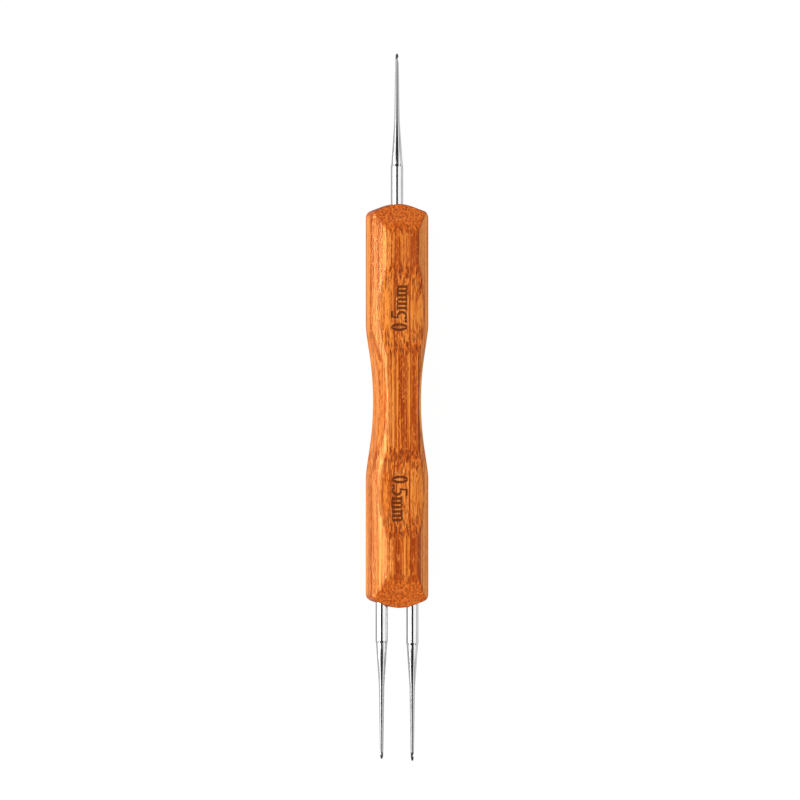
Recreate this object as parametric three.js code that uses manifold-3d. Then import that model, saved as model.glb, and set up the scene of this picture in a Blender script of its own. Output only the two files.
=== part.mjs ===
// A double-ended crochet hook for dreadlocks: a laminated bamboo handle with one steel hook at its upper
// end and a pair at its lower end. Millimetres, +Z up. The tool lies on its back face. The origin is on that
// face, at half the handle's length. +Y runs along the handle to the single hook, and +X to the right.

import * as THREE from "three";
import { mergeVertices } from "three/addons/utils/BufferGeometryUtils.js";
import Module from "manifold-3d";

// The handle's bar: nearly square, with a broad chamfer along each of its four edges
const HANDLE_LENGTH = 85.6;
const HANDLE_WIDTH = 12.75;
const HANDLE_THICKNESS = 12.4;
const FRONT_LAND_WIDTH = 6.9;
const SIDE_LAND_WIDTH = 4.6;
const FRONT_CORNER_RADIUS = 1;
const SIDE_CORNER_RADIUS = 1.6;
const CENTRE_STRIP_WIDTH = 3.4;

// The handle's ends: each falls from an apex to both shoulders, and is bevelled steeply at the front and the
// back down to a land across its middle
const APEX_RADIUS = 8;
const SHOULDER_RADIUS = 2.2;
const END_LAND_THICKNESS = 3.4;
const CREST_RADIUS = 0.5;
const SINGLE_END = { apexShift: 0, fall: 2.55, bevelRun: 5.2, rollRadius: 5 };
const TWIN_END = { apexShift: 0.5, fall: 2.4, bevelRun: 5.7, rollRadius: 7.5 };

// The carving along the handle: a waist at both sides, and two finger rests each at the front and the back.
// Each is sanded flat on, and again with the handle rolled to both sides, which eases the cut's edges.
const CARVING_SHIFT = 0.9;
const WAIST_WIDTH = 9.2;
const WAIST_DRUM_RADIUS = 68;
const WAIST_ROLL = THREE.MathUtils.degToRad(22);
const ROLLED_WAIST_WIDTH = 10.9;
const REST_SPACING = 38.6;
const REST_DEPTH = 1.43;
const REST_DRUM_RADIUS = 32;
const REST_ROLL = THREE.MathUtils.degToRad(20);
const ROLLED_REST_THICKNESS = 11.2;

// The steel hooks: a plain shank, a small step, a taper, a fine neck and the ground head
const SHANK_DIAMETER = 2.6;
const SHANK_CHAMFER = 0.25;
const EMBEDDED_LENGTH = 18;
const STEP_HEIGHT = 0.1;
const STEP_LENGTH = 0.35;
const TAPER_LENGTH = 9.5;
const TAPER_END_DIAMETER = 1.15;
const NECK_DIAMETER = 0.74;
const TWIN_SPACING = 6.65;
const SINGLE_HOOK = { reach: 31.9, workingLength: 23.9 };
const TWIN_HOOK_LEFT = { reach: 32, workingLength: 25 };
const TWIN_HOOK_RIGHT = { reach: 32.5, workingLength: 25 };

// The head: a round nose, an undercut lip, and a throat that ramps back out to the neck
const HEAD_DIAMETER = 0.6;
const NOSE_LENGTH = 0.75;
const LIP_SETBACK = 0.95;
const UNDERCUT = 0.18;
const THROAT_STEEL = 0.32;
const THROAT_RADIUS = 0.11;
const THROAT_RAMP = 1.3;

// How the pins are set in the wood
const GLUE_GAP = 0.1;
const GLUE_DEPTH = 1.2;
const DRILL_POINT = THREE.MathUtils.degToRad(118);

// How finely the round forms are divided, and how near two points lie to be one
const OUTLINE_STEP = THREE.MathUtils.degToRad(9);
const DRUM_SEGMENTS = 144;
const PIN_SEGMENTS = 32;
const NOSE_STEPS = 6;
const SAME_POINT = 1e-5;

// What follows from the sizes above, with the room that a cutting form has past the wood
const LAND_HEIGHT = HANDLE_THICKNESS / 2;
const SIDE_REACH = HANDLE_WIDTH / 2;
const HANDLE_END = HANDLE_LENGTH / 2;
const SHANK_RADIUS = SHANK_DIAMETER / 2;
const NECK_RADIUS = NECK_DIAMETER / 2;
const OVERRUN = SHANK_RADIUS;
const STOCK = HANDLE_WIDTH + HANDLE_THICKNESS + 2 * OVERRUN;

const BAMBOO = new THREE.MeshStandardMaterial({ color: 0xc96a28, roughness: 0.5, metalness: 0 });
const STEEL = new THREE.MeshStandardMaterial({ color: 0xc9cbce, roughness: 0.18, metalness: 1 });
const GLUE = new THREE.MeshStandardMaterial({ color: 0xd9c48a, roughness: 0.3, metalness: 0 });

const wasm = await Module();
wasm.setup();

// A closed geometry as a solid that can be joined and cut.
function toSolid(geometry) {
  geometry.deleteAttribute("normal");
  geometry.deleteAttribute("uv");
  const merged = mergeVertices(geometry, SAME_POINT);
  return new wasm.Manifold(
    new wasm.Mesh({
      numProp: 3,
      vertProperties: merged.attributes.position.array,
      triVerts: new Uint32Array(merged.index.array),
    }),
  );
}

function toGeometry(solid) {
  const cut = solid.getMesh();
  const geometry = new THREE.BufferGeometry();
  geometry.setAttribute("position", new THREE.BufferAttribute(cut.vertProperties, 3));
  geometry.setIndex(new THREE.BufferAttribute(cut.triVerts, 1));
  geometry.computeVertexNormals();
  return geometry;
}

// The points of a closed outline. Each corner is [x, y, radius], and an arc of that radius rounds it.
function roundedOutline(corners) {
  return corners.flatMap(([x, y, radius = 0], i) => {
    const corner = new THREE.Vector2(x, y);
    if (!radius) return [corner];
    const [lastX, lastY] = corners.at(i - 1);
    const [nextX, nextY] = corners[(i + 1) % corners.length];
    const back = new THREE.Vector2(lastX, lastY).sub(corner).normalize();
    const ahead = new THREE.Vector2(nextX, nextY).sub(corner).normalize();
    const half = Math.acos(back.dot(ahead)) / 2;
    const centre = back.clone().add(ahead).setLength(radius / Math.sin(half)).add(corner);
    const start = back.clone().multiplyScalar(radius / Math.tan(half)).add(corner).sub(centre);
    const turn = (Math.PI - 2 * half) * Math.sign(ahead.cross(back));
    const steps = Math.max(1, Math.ceil(Math.abs(turn) / OUTLINE_STEP));
    return Array.from({ length: steps + 1 }, (_, k) =>
      start.clone().rotateAround(new THREE.Vector2(), (turn * k) / steps).add(centre),
    );
  });
}

// An outline drawn out to a depth, half of it on each side of the outline's own plane.
function slab(points, depth) {
  const settings = { depth, bevelEnabled: false };
  return new THREE.ExtrudeGeometry(new THREE.Shape(points), settings).translate(0, 0, -depth / 2);
}

// The chamfered bar, its section in XZ
function bar() {
  const front = [FRONT_LAND_WIDTH / 2, LAND_HEIGHT];
  const side = [SIDE_REACH, SIDE_LAND_WIDTH / 2];
  const corners = [
    [side[0], -side[1], SIDE_CORNER_RADIUS],
    [side[0], side[1], SIDE_CORNER_RADIUS],
    [front[0], front[1], FRONT_CORNER_RADIUS],
    [-front[0], front[1], FRONT_CORNER_RADIUS],
    [-side[0], side[1], SIDE_CORNER_RADIUS],
    [-side[0], -side[1], SIDE_CORNER_RADIUS],
    [-front[0], -front[1], FRONT_CORNER_RADIUS],
    [front[0], -front[1], FRONT_CORNER_RADIUS],
  ];
  return toSolid(slab(roundedOutline(corners), HANDLE_LENGTH + 2 * OVERRUN).rotateX(Math.PI / 2));
}

// The corners of one end seen from the front, as if it were the upper one, from its right shoulder to its left
function endCorners({ apexShift, fall }) {
  const slope = Math.atan2(fall, SIDE_REACH);
  const apex = HANDLE_END + APEX_RADIUS * (1 / Math.cos(slope) - 1);
  return [
    [SIDE_REACH, apex - fall, SHOULDER_RADIUS],
    [apexShift, apex, APEX_RADIUS],
    [-SIDE_REACH, apex - fall, SHOULDER_RADIUS],
  ];
}

// The handle seen from the front
function plan() {
  const twin = endCorners(TWIN_END).map(([x, y, radius]) => [x, -y, radius]);
  return toSolid(slab(roundedOutline([...endCorners(SINGLE_END), ...twin.reverse()]), STOCK));
}

// The handle seen from the side: both ends are bevelled to their lands, and each bevel rolls into its face
function profile() {
  const crest = END_LAND_THICKNESS / 2;
  const single = HANDLE_END - SINGLE_END.bevelRun;
  const twin = TWIN_END.bevelRun - HANDLE_END;
  const corners = [
    [HANDLE_END, -crest, CREST_RADIUS],
    [HANDLE_END, crest, CREST_RADIUS],
    [single, LAND_HEIGHT, SINGLE_END.rollRadius],
    [twin, LAND_HEIGHT, TWIN_END.rollRadius],
    [-HANDLE_END, crest, CREST_RADIUS],
    [-HANDLE_END, -crest, CREST_RADIUS],
    [twin, -LAND_HEIGHT, TWIN_END.rollRadius],
    [single, -LAND_HEIGHT, SINGLE_END.rollRadius],
  ];
  const outline = slab(roundedOutline(corners), STOCK);
  return toSolid(outline.rotateX(Math.PI / 2).rotateZ(Math.PI / 2));
}

// One pass of the sanding drum. It faces the handle at an angle about Y from +X, and its surface comes as
// near to the axis as the reach, at the given place along the handle.
function pass(radius, reach, along, facing) {
  const drum = new THREE.CylinderGeometry(radius, radius, STOCK, DRUM_SEGMENTS);
  return toSolid(drum.rotateX(Math.PI / 2).translate(reach + radius, along, 0).rotateY(facing));
}

// All passes of the drums: the waist's from both sides, and the finger rests' from the front and the back
function drums() {
  const waistReach = WAIST_WIDTH / 2;
  const restReach = LAND_HEIGHT - REST_DEPTH;
  const places = [-1, 1].map((end) => CARVING_SHIFT + (end * REST_SPACING) / 2);
  return [0, Math.PI].flatMap((side) => {
    const rolls = [-1, 1].flatMap((way) => {
      const waist = side + way * WAIST_ROLL;
      const rest = side + Math.PI / 2 + way * REST_ROLL;
      return [
        pass(WAIST_DRUM_RADIUS, ROLLED_WAIST_WIDTH / 2, CARVING_SHIFT, waist),
        ...places.map((y) => pass(REST_DRUM_RADIUS, ROLLED_REST_THICKNESS / 2, y, rest)),
      ];
    });
    const waist = pass(WAIST_DRUM_RADIUS, waistReach, CARVING_SHIFT, side);
    const rests = places.map((y) => pass(REST_DRUM_RADIUS, restReach, y, side + Math.PI / 2));
    return [waist, ...rests, ...rolls];
  });
}

// A round form that ends below in a drill's point. The handle's end is at y = 0, and the point starts where
// the glue under the pin ends.
function drilled(radius, top) {
  const bottom = -EMBEDDED_LENGTH - GLUE_DEPTH;
  const wall = [
    new THREE.Vector2(0, bottom - radius / Math.tan(DRILL_POINT / 2)),
    new THREE.Vector2(radius, bottom),
    new THREE.Vector2(radius, top),
    new THREE.Vector2(0, top),
  ];
  return new THREE.LatheGeometry(wall, PIN_SEGMENTS);
}

// The blind hole for one pin, open past the handle's end
const bore = () => drilled(SHANK_RADIUS + GLUE_GAP, OVERRUN);

// The cured glue in the bottom of a bore, pressed flat by the pin's end
const gluePlug = () => drilled(SHANK_RADIUS, -EMBEDDED_LENGTH);

// The ground slot of one head, seen from the front. It runs up under the lip, so that the lip holds what is
// pulled, and its ramp runs down and out to the neck.
function throat(tip) {
  const floor = THROAT_STEEL - NECK_RADIUS;
  const deepest = tip - LIP_SETBACK + UNDERCUT;
  const reach = (SHANK_RADIUS - floor) / (NECK_RADIUS - floor);
  const corners = [
    [SHANK_RADIUS, deepest - UNDERCUT * reach],
    [floor, deepest, THROAT_RADIUS],
    [SHANK_RADIUS, deepest - THROAT_RAMP * reach],
  ];
  return toSolid(slab(roundedOutline(corners), SHANK_DIAMETER));
}

// One hook, standing along +Y from the handle's end at y = 0, its throat open to +X
function hook({ reach, workingLength }) {
  const shoulder = reach - workingLength;
  const taperStart = SHANK_RADIUS - STEP_HEIGHT;
  const neckEnd = reach - LIP_SETBACK + UNDERCUT - THROAT_RAMP;
  const wall = [
    new THREE.Vector2(0, -EMBEDDED_LENGTH),
    new THREE.Vector2(SHANK_RADIUS - SHANK_CHAMFER, -EMBEDDED_LENGTH),
    new THREE.Vector2(SHANK_RADIUS, -EMBEDDED_LENGTH + SHANK_CHAMFER),
    new THREE.Vector2(SHANK_RADIUS, shoulder),
    new THREE.Vector2(taperStart, shoulder + STEP_LENGTH),
    new THREE.Vector2(TAPER_END_DIAMETER / 2, shoulder + TAPER_LENGTH),
    new THREE.Vector2(NECK_RADIUS, neckEnd),
  ];
  for (let step = 0; step <= NOSE_STEPS; step++) {
    const lift = (Math.PI / 2) * (step / NOSE_STEPS);
    const radius = step < NOSE_STEPS ? (HEAD_DIAMETER / 2) * Math.cos(lift) : 0;
    wall.push(new THREE.Vector2(radius, reach - NOSE_LENGTH * (1 - Math.sin(lift))));
  }
  const turned = toSolid(new THREE.LatheGeometry(wall, PIN_SEGMENTS));
  return toGeometry(turned.subtract(throat(reach)));
}

// Where each pin enters: its place, and the turn that points it out of its end of the handle
const SEATS = {
  single: { position: [0, HANDLE_END, 0], turn: [0, 0, 0] },
  twin_left: { position: [-TWIN_SPACING / 2, -HANDLE_END, 0], turn: [0, 0, Math.PI] },
  twin_right: { position: [TWIN_SPACING / 2, -HANDLE_END, 0], turn: [Math.PI, 0, 0] },
};

// The carved handle in one piece, bored for the pins, and parted along its two glue lines
function strips() {
  const bores = Object.values(SEATS).map(({ position, turn }) => {
    const seat = new THREE.Object3D();
    seat.position.set(...position);
    seat.rotation.set(...turn);
    seat.updateMatrix();
    return toSolid(bore().applyMatrix4(seat.matrix));
  });
  const blank = bar().intersect(plan()).intersect(profile());
  const carved = [...drums(), ...bores].reduce((wood, cut) => wood.subtract(cut), blank);
  const outer = STOCK / 2;
  const inner = CENTRE_STRIP_WIDTH / 2;
  const spans = { left: [-outer, -inner], centre: [-inner, inner], right: [inner, outer] };
  return Object.entries(spans).map(([name, [from, to]]) => {
    const block = new THREE.BoxGeometry(to - from, HANDLE_LENGTH + 2 * OVERRUN, STOCK);
    const strip = carved.intersect(toSolid(block.translate((from + to) / 2, 0, 0)));
    return part(`bamboo_strip_${name}`, toGeometry(strip), BAMBOO);
  });
}

function part(name, geometry, material) {
  const mesh = new THREE.Mesh(geometry, material);
  mesh.name = name;
  return mesh;
}

function seated(seat, mesh) {
  mesh.position.set(...SEATS[seat].position);
  mesh.rotation.set(...SEATS[seat].turn);
  return mesh;
}

// Everything is built about the handle's axis, which lies half the handle's height above the rest face
const aboutAxis = new THREE.Group();
aboutAxis.position.z = LAND_HEIGHT;
aboutAxis.add(
  ...strips(),
  seated("single", part("single_hook", hook(SINGLE_HOOK), STEEL)),
  seated("twin_left", part("twin_hook_left", hook(TWIN_HOOK_LEFT), STEEL)),
  seated("twin_right", part("twin_hook_right", hook(TWIN_HOOK_RIGHT), STEEL)),
  seated("single", part("glue_single", gluePlug(), GLUE)),
  seated("twin_left", part("glue_twin_left", gluePlug(), GLUE)),
  seated("twin_right", part("glue_twin_right", gluePlug(), GLUE)),
);

const crochetHook = new THREE.Group();
crochetHook.add(aboutAxis);

export default crochetHook;
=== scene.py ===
"""A double-ended crochet hook for dreadlocks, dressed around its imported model.

The carved handle is three strips of stained bamboo, with three ground steel hooks glued into its ends.
Everything is in metres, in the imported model's own frame.
"""

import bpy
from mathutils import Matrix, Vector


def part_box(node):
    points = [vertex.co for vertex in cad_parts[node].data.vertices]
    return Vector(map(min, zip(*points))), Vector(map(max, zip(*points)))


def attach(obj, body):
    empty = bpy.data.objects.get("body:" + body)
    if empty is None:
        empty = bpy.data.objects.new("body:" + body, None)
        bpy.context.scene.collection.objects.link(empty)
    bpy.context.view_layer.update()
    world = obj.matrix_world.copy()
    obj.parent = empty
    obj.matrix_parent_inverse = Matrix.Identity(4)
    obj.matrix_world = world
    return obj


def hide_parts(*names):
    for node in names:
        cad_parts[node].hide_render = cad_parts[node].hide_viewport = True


bl_info = {
    "name": "Dreadlock crochet hook",
    "version": (1, 0, 0),
    "blender": (4, 5, 0),
    "location": "View3D > Sidebar > Crochet hook",
    "description": "Carves, grinds and finishes a double-ended crochet hook around its packed model",
    "category": "Object",
}

import math

import bmesh
import bpy
import numpy as np
from bpy.props import FloatProperty, FloatVectorProperty, PointerProperty
from mathutils import Matrix, Vector

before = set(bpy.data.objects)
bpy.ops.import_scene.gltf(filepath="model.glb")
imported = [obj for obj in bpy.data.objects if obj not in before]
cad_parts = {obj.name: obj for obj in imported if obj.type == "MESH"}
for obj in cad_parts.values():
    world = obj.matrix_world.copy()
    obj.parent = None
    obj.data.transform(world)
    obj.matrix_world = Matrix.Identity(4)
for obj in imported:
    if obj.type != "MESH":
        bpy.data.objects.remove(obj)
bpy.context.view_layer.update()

MM = 0.001
DEG = math.pi / 180
BODY = "root"
STRIPS = ("left", "centre", "right")

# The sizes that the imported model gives
centre_low, centre_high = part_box("bamboo_strip_centre")
single_low, single_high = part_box("single_hook")
twin_low, twin_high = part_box("twin_hook_right")
left_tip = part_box("twin_hook_left")[0].y
right_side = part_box("bamboo_strip_right")[1].x

# How finely the handle is meshed. Fans of rays meet its ends, and start a setback away from them.
FINE_STEP = 0.07 * MM
PLAIN_STEP = 0.25 * MM
ROUND_STEP = 0.17 * MM
FINE_BAND = 0.9 * MM
FAN_RAYS = 64
FAN_SETBACK = 6.6 * MM
RING_RAYS = 721
HALVINGS = 26

# How finely the hooks are meshed, and how near a ring holds each edge of theirs
PIN_SIDES = 96
NOSE_STEPS = 20
THROAT_STEPS = 12
EDGE_HOLD = 0.08 * MM

# Edges sharper than this stay sharp, in degrees
SHARP_WOOD = 35
SHARP_STEEL = 30

# How the strips are laid out for baking: the share of the square for hidden faces, the empty edge of each
# band, how far the bands reach past half the handle's length, and how flush a point on a wall lies
HIDDEN_SHARE = 0.12
MAP_EDGE = 0.004
MAP_REACH = 1.09
FLUSH = MM / 1000

# The waves of each noise: how many to the millimetre across the fibres and along them, and for some how far
# one pattern lies from the next along each axis
WANDER_WAVES = (0.12, 0.03, 0, 7.3, 0)
BROAD_WAVES = (0.8, 0.012, 0, 3.1, 0)
STREAK_WAVES = (2.3, 0.03, 0, 9.7, 0)
FINE_WAVES = (5, 0.07, 0, 0, 5)
ROSE_WAVES = (1.3, 0.02, 40, 0, 0)
BREAK_WAVES = (2, 0.4)
PORE_WAVES = (3.6, 0.85)
TURNING_WAVES = (0.15, 9)
STAIN_WAVES = (1, 0.4)
CLOUD_WAVES = (0.9, 0.9)
PATCH_WAVES = 6

# How much each width of streak adds to the wood's tone, what each strip adds to it, how much painted light
# makes its finger rests paler, and how far the rose streaks cover each strip
BROAD_PART = 0.24
STREAK_PART = 0.46
FINE_PART = 0.3
STRIP_TONES = (0.004, -0.013, -0.037)
REST_LIGHT_TONES = (0.018, 0.036, 0.09)
ROSE_PARTS = (0.3, 0.5, 0.35)

# Where each effect starts and where it is whole. For the wood's tone and other noises, from 0 to 1:
PALE_TONES = (0.503, 0.545)
DEEP_TONES = (0.488, 0.45)
ROSE_TONES = (0.5, 0.62)
BROKEN_TONES = (0.4, 0.6)
BROKEN_EDGE_TONES = (0.3, 0.6)
DARK_PORES = (0.45, 0.34)
PALE_PORES = (0.55, 0.68)
STEEL_STAINS = (0.5, 0.75)
GLUE_CLOUDS = (0.4, 0.7)
# for how far a face leans towards the ends, or is turned to the sides, from 0 to 1:
CUT_LEANS = (0.04, 0.3)
END_LEANS = (0.28, 0.5)
STEEP_LEANS = (0.72, 0.9)
CORNER_TURNS = ((0.8, 0.815), (0.93, 0.89))
CHAMFER_TURNS = ((0.7, 0.77), (0.88, 0.83))
# for the distance from the middle of a bundle, in its spacing:
BUNDLE_EDGE = (0.42, 0.3)
# and for places and distances in millimetres
SEAM_EDGE = (0.26, 0.06)
CHAMFER_EDGE = (0.3, 0.06)
MARK_EDGE = (0.18, 0.02)
REST_DEPTHS = (0.2, 0.9)
WAIST_PLACES = (8, 14)
END_PLACES = (33, 35)
LOW_HEIGHTS = (4.9, 3.7)
HEAD_PLACES = (73.2, 73.7)

# The relief of the finishes, the warm sheen of the lacquer, and the colour of stains on the steel
WOOD_RELIEF = (0.1 * MM, 0.9)
STEEL_RELIEF = (0.002 * MM, 0.4)
GLUE_RELIEF = (0.02 * MM, 0.5)
WOOD_SHEEN = {"Specular IOR Level": 0.35, "Specular Tint": (1, 0.8, 0.36, 1)}
STAINED_STEEL = (0.62, 0.62, 0.64)

# The floor's paper and its glow, the lamps' length, and the cards that show only in reflections. Those for
# the wood reach nearly to its ends, and those for the needles start beyond the tapers.
PAPER = (0.9, 0.9, 0.9, 1)
PAPER_GLOW = 1.03
LAMP_LENGTH = 0.9
CARD_DISTANCE = 0.06
CARD_LIFT = 0.05 * MM
WOOD_REACH = 0.0415
NEEDLE_START = 0.062
NEEDLE_END = 0.4
DARK = (0.02, 0.02, 0.02)
NEEDLE_GREY = (0.25, 0.25, 0.25)
SHANK_GREY = (0.42, 0.42, 0.42)


def length(millimetres, description):
    """A length that can be changed in the sidebar."""
    return FloatProperty(
        description=description,
        default=millimetres * MM,
        min=0,
        precision=5,
        unit="LENGTH",
        subtype="DISTANCE",
    )


def angle(degrees, description):
    """An angle that can be changed in the sidebar."""
    return FloatProperty(description=description, default=degrees * DEG, subtype="ANGLE")


def share(default, description):
    """A number from none to all."""
    return FloatProperty(description=description, default=default, min=0, max=1, subtype="FACTOR")


def linear(level):
    """A screen level from 0 to 255 as the light that it stands for."""
    level /= 255
    return level / 12.92 if level <= 0.04045 else ((level + 0.055) / 1.055) ** 2.4


def colour(red, green, blue, description):
    """A colour that can be changed in the sidebar, given as screen levels."""
    return FloatVectorProperty(
        description=description,
        default=(linear(red), linear(green), linear(blue)),
        min=0,
        max=1,
        size=3,
        subtype="COLOR",
    )


class HandleSizes(bpy.types.PropertyGroup):
    """The carved handle."""

    length: length((centre_high.y - centre_low.y) / MM, "From end to end")
    thickness: length((centre_high.z - centre_low.z) / MM, "From the back to the front")
    width: length(2 * right_side / MM, "From side to side, at the ends")
    centre_strip: length(2 * centre_high.x / MM, "Width of the middle strip")
    front_land: length(6.9, "Width of the flat front and back faces")
    side_land: length(4.6, "Height of the flat side faces")
    front_radius: length(2.0, "Rounding between a face and its chamfers")
    side_radius: length(1.6, "Rounding between a chamfer and a side")
    apex_radius: length(8, "Rounding at the middle of each end")
    shoulder_radius: length(2.2, "Rounding between the ends and the sides")
    end_land: length(3.4, "Thickness of the flat at the middle of each end")
    crest_radius: length(0.5, "Rounding between an end's flat and its bevels")
    single_fall: length(2.55, "From the apex down to the shoulders at the single hook")
    twin_fall: length(2.4, "From the apex down to the shoulders at the twin hooks")
    twin_shift: length(0.5, "How far its apex lies to the right")
    single_bevel: length(5.2, "Length of the bevel at the single hook")
    single_roll: length(5.0, "How the bevel at the single hook rolls into its face")
    twin_bevel: length(5.7, "Length of the bevel at the twin hooks")
    twin_roll: length(7.5, "How the bevel at the twin hooks rolls into its face")
    carving_shift: length(0.9, "How far the carving lies from half the length")
    waist: length(9.2, "Width at the waist")
    waist_drum: length(68, "Radius of the sanding drum at the waist")
    waist_roll: angle(22, "How far the handle is rolled to ease the waist's edges")
    rolled_waist: length(10.9, "Width across the eased edges of the waist")
    rest_spacing: length(38.6, "Between the middles of the finger rests")
    rest_depth: length(1.43, "Depth of the finger rests")
    rest_drum: length(32, "Radius of the sanding drum at the rests")
    rest_roll: angle(20, "How far the handle is rolled to ease the rests' edges")
    rolled_rest: length(11.2, "Thickness across the eased edges of the rests")
    easing: length(0.3, "How far hand sanding softens an edge")
    bore_gap: length(0.1, "How much wider than its pin a bore is, on each side")
    bore_depth: length(19.2, "Depth of a bore down to its drilled point")
    drill_point: angle(118, "Angle of the drill's point")
    mark_depth: length(0.11, "How deep the size is burned in")


class HookSizes(bpy.types.PropertyGroup):
    """The ground steel hooks."""

    shank: length((single_high.z - single_low.z) / MM, "Diameter of the shank")
    chamfer: length(0.25, "Chamfer at the end that is in the wood")
    step_height: length(0.1, "How much the shank steps in at the taper")
    step_length: length(0.35, "Length of that step")
    taper_length: length(9.5, "From the shoulder to the end of the fast taper")
    taper_end: length(1.15, "Diameter at the end of the fast taper")
    neck: length(0.74, "Diameter of the neck behind the throat")
    single_working: length(23.9, "From the shoulder to the tip of the single hook")
    twin_working: length(25, "From the shoulder to the tip of a twin hook")
    head: length(0.6, "Diameter of the head")
    nose: length(0.75, "Length of the round nose")
    lip_setback: length(0.95, "From the tip to the lip")
    undercut: length(0.18, "How far the throat runs up under the lip")
    throat_steel: length(0.32, "Thickness of the steel behind the throat")
    throat_radius: length(0.11, "Rounding at the bottom of the throat")
    throat_ramp: length(1.3, "Length of the ramp out of the throat")


class Finishes(bpy.types.PropertyGroup):
    """The colours and textures of the wood, the steel and the glue."""

    wood: colour(218, 98, 16, "Stained bamboo between its fibres")
    wood_pale: colour(255, 152, 62, "The palest streaks")
    # wood_deep is also the colour of the painted shade on the chamfers' edges and corners
    wood_deep: colour(158, 48, 2, "The deepest streaks, the glue lines and the edges")
    wood_end: colour(236, 102, 12, "Stained bamboo where it is cut across")
    wood_rose: colour(216, 106, 42, "The dull streaks")
    fibre: colour(130, 42, 6, "Bundles of fibre")
    burn: colour(96, 28, 5, "The burned size mark")
    bundle_spacing: length(0.52, "Between neighbouring bundles of fibre")
    wander: length(0.08, "How far the grain strays from a straight line")
    wood_roughness: share(0.22, "Of the lacquered wood")
    steel: colour(246, 246, 247, "Polished steel")
    # painted darkness at the heads, standing in for their dark reflection
    dark_head_steel: colour(96, 96, 100, "Dull steel at the heads")
    steel_roughness: share(0.06, "Of the polished steel")
    glue: colour(214, 178, 110, "Cured glue")


class StageSizes(bpy.types.PropertyGroup):
    """The camera, the floor and the lamps."""

    view_turn: angle(12.5, "How far the camera stands to the left of straight above")
    view_width: length(169.6, "What the picture spans at the handle's axis")
    view_distance: length(1500, "From the camera to the handle's axis")
    view_right: length(0.64, "How far the picture's middle lies to the right of the handle's")
    view_up: length(1.25, "How far the picture's middle lies above the handle's")
    floor_size: length(6000, "Width of the floor")
    shadow: share(0.06, "How much of the tool's shadow the white floor keeps")
    room_light: share(0.6, "How much plain light comes from all sides")


def set_up(context):
    """The four groups of settings, as names for the code below."""
    return [getattr(context.scene, name) for name in GROUPS]


class Value:
    """A socket of a shader that can be used in sums, as a number can."""

    def __init__(self, finish, socket):
        self.finish = finish
        self.socket = socket

    def maths(self, operation, *others):
        """One Math node on this value and the others."""
        return self.finish.maths(operation, self, *others)

    def other(self, name):
        """Another output of the same node."""
        return Value(self.finish, self.socket.node.outputs[name])

    def __add__(self, other):
        return self.maths("ADD", other)

    def __sub__(self, other):
        return self.maths("SUBTRACT", other)

    def __rsub__(self, other):
        return self.finish.maths("SUBTRACT", other, self)

    def __mul__(self, other):
        return self.maths("MULTIPLY", other)

    def __truediv__(self, other):
        return self.maths("DIVIDE", other)

    def __abs__(self):
        return self.maths("ABSOLUTE")

    __radd__ = __add__
    __rmul__ = __mul__


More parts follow.
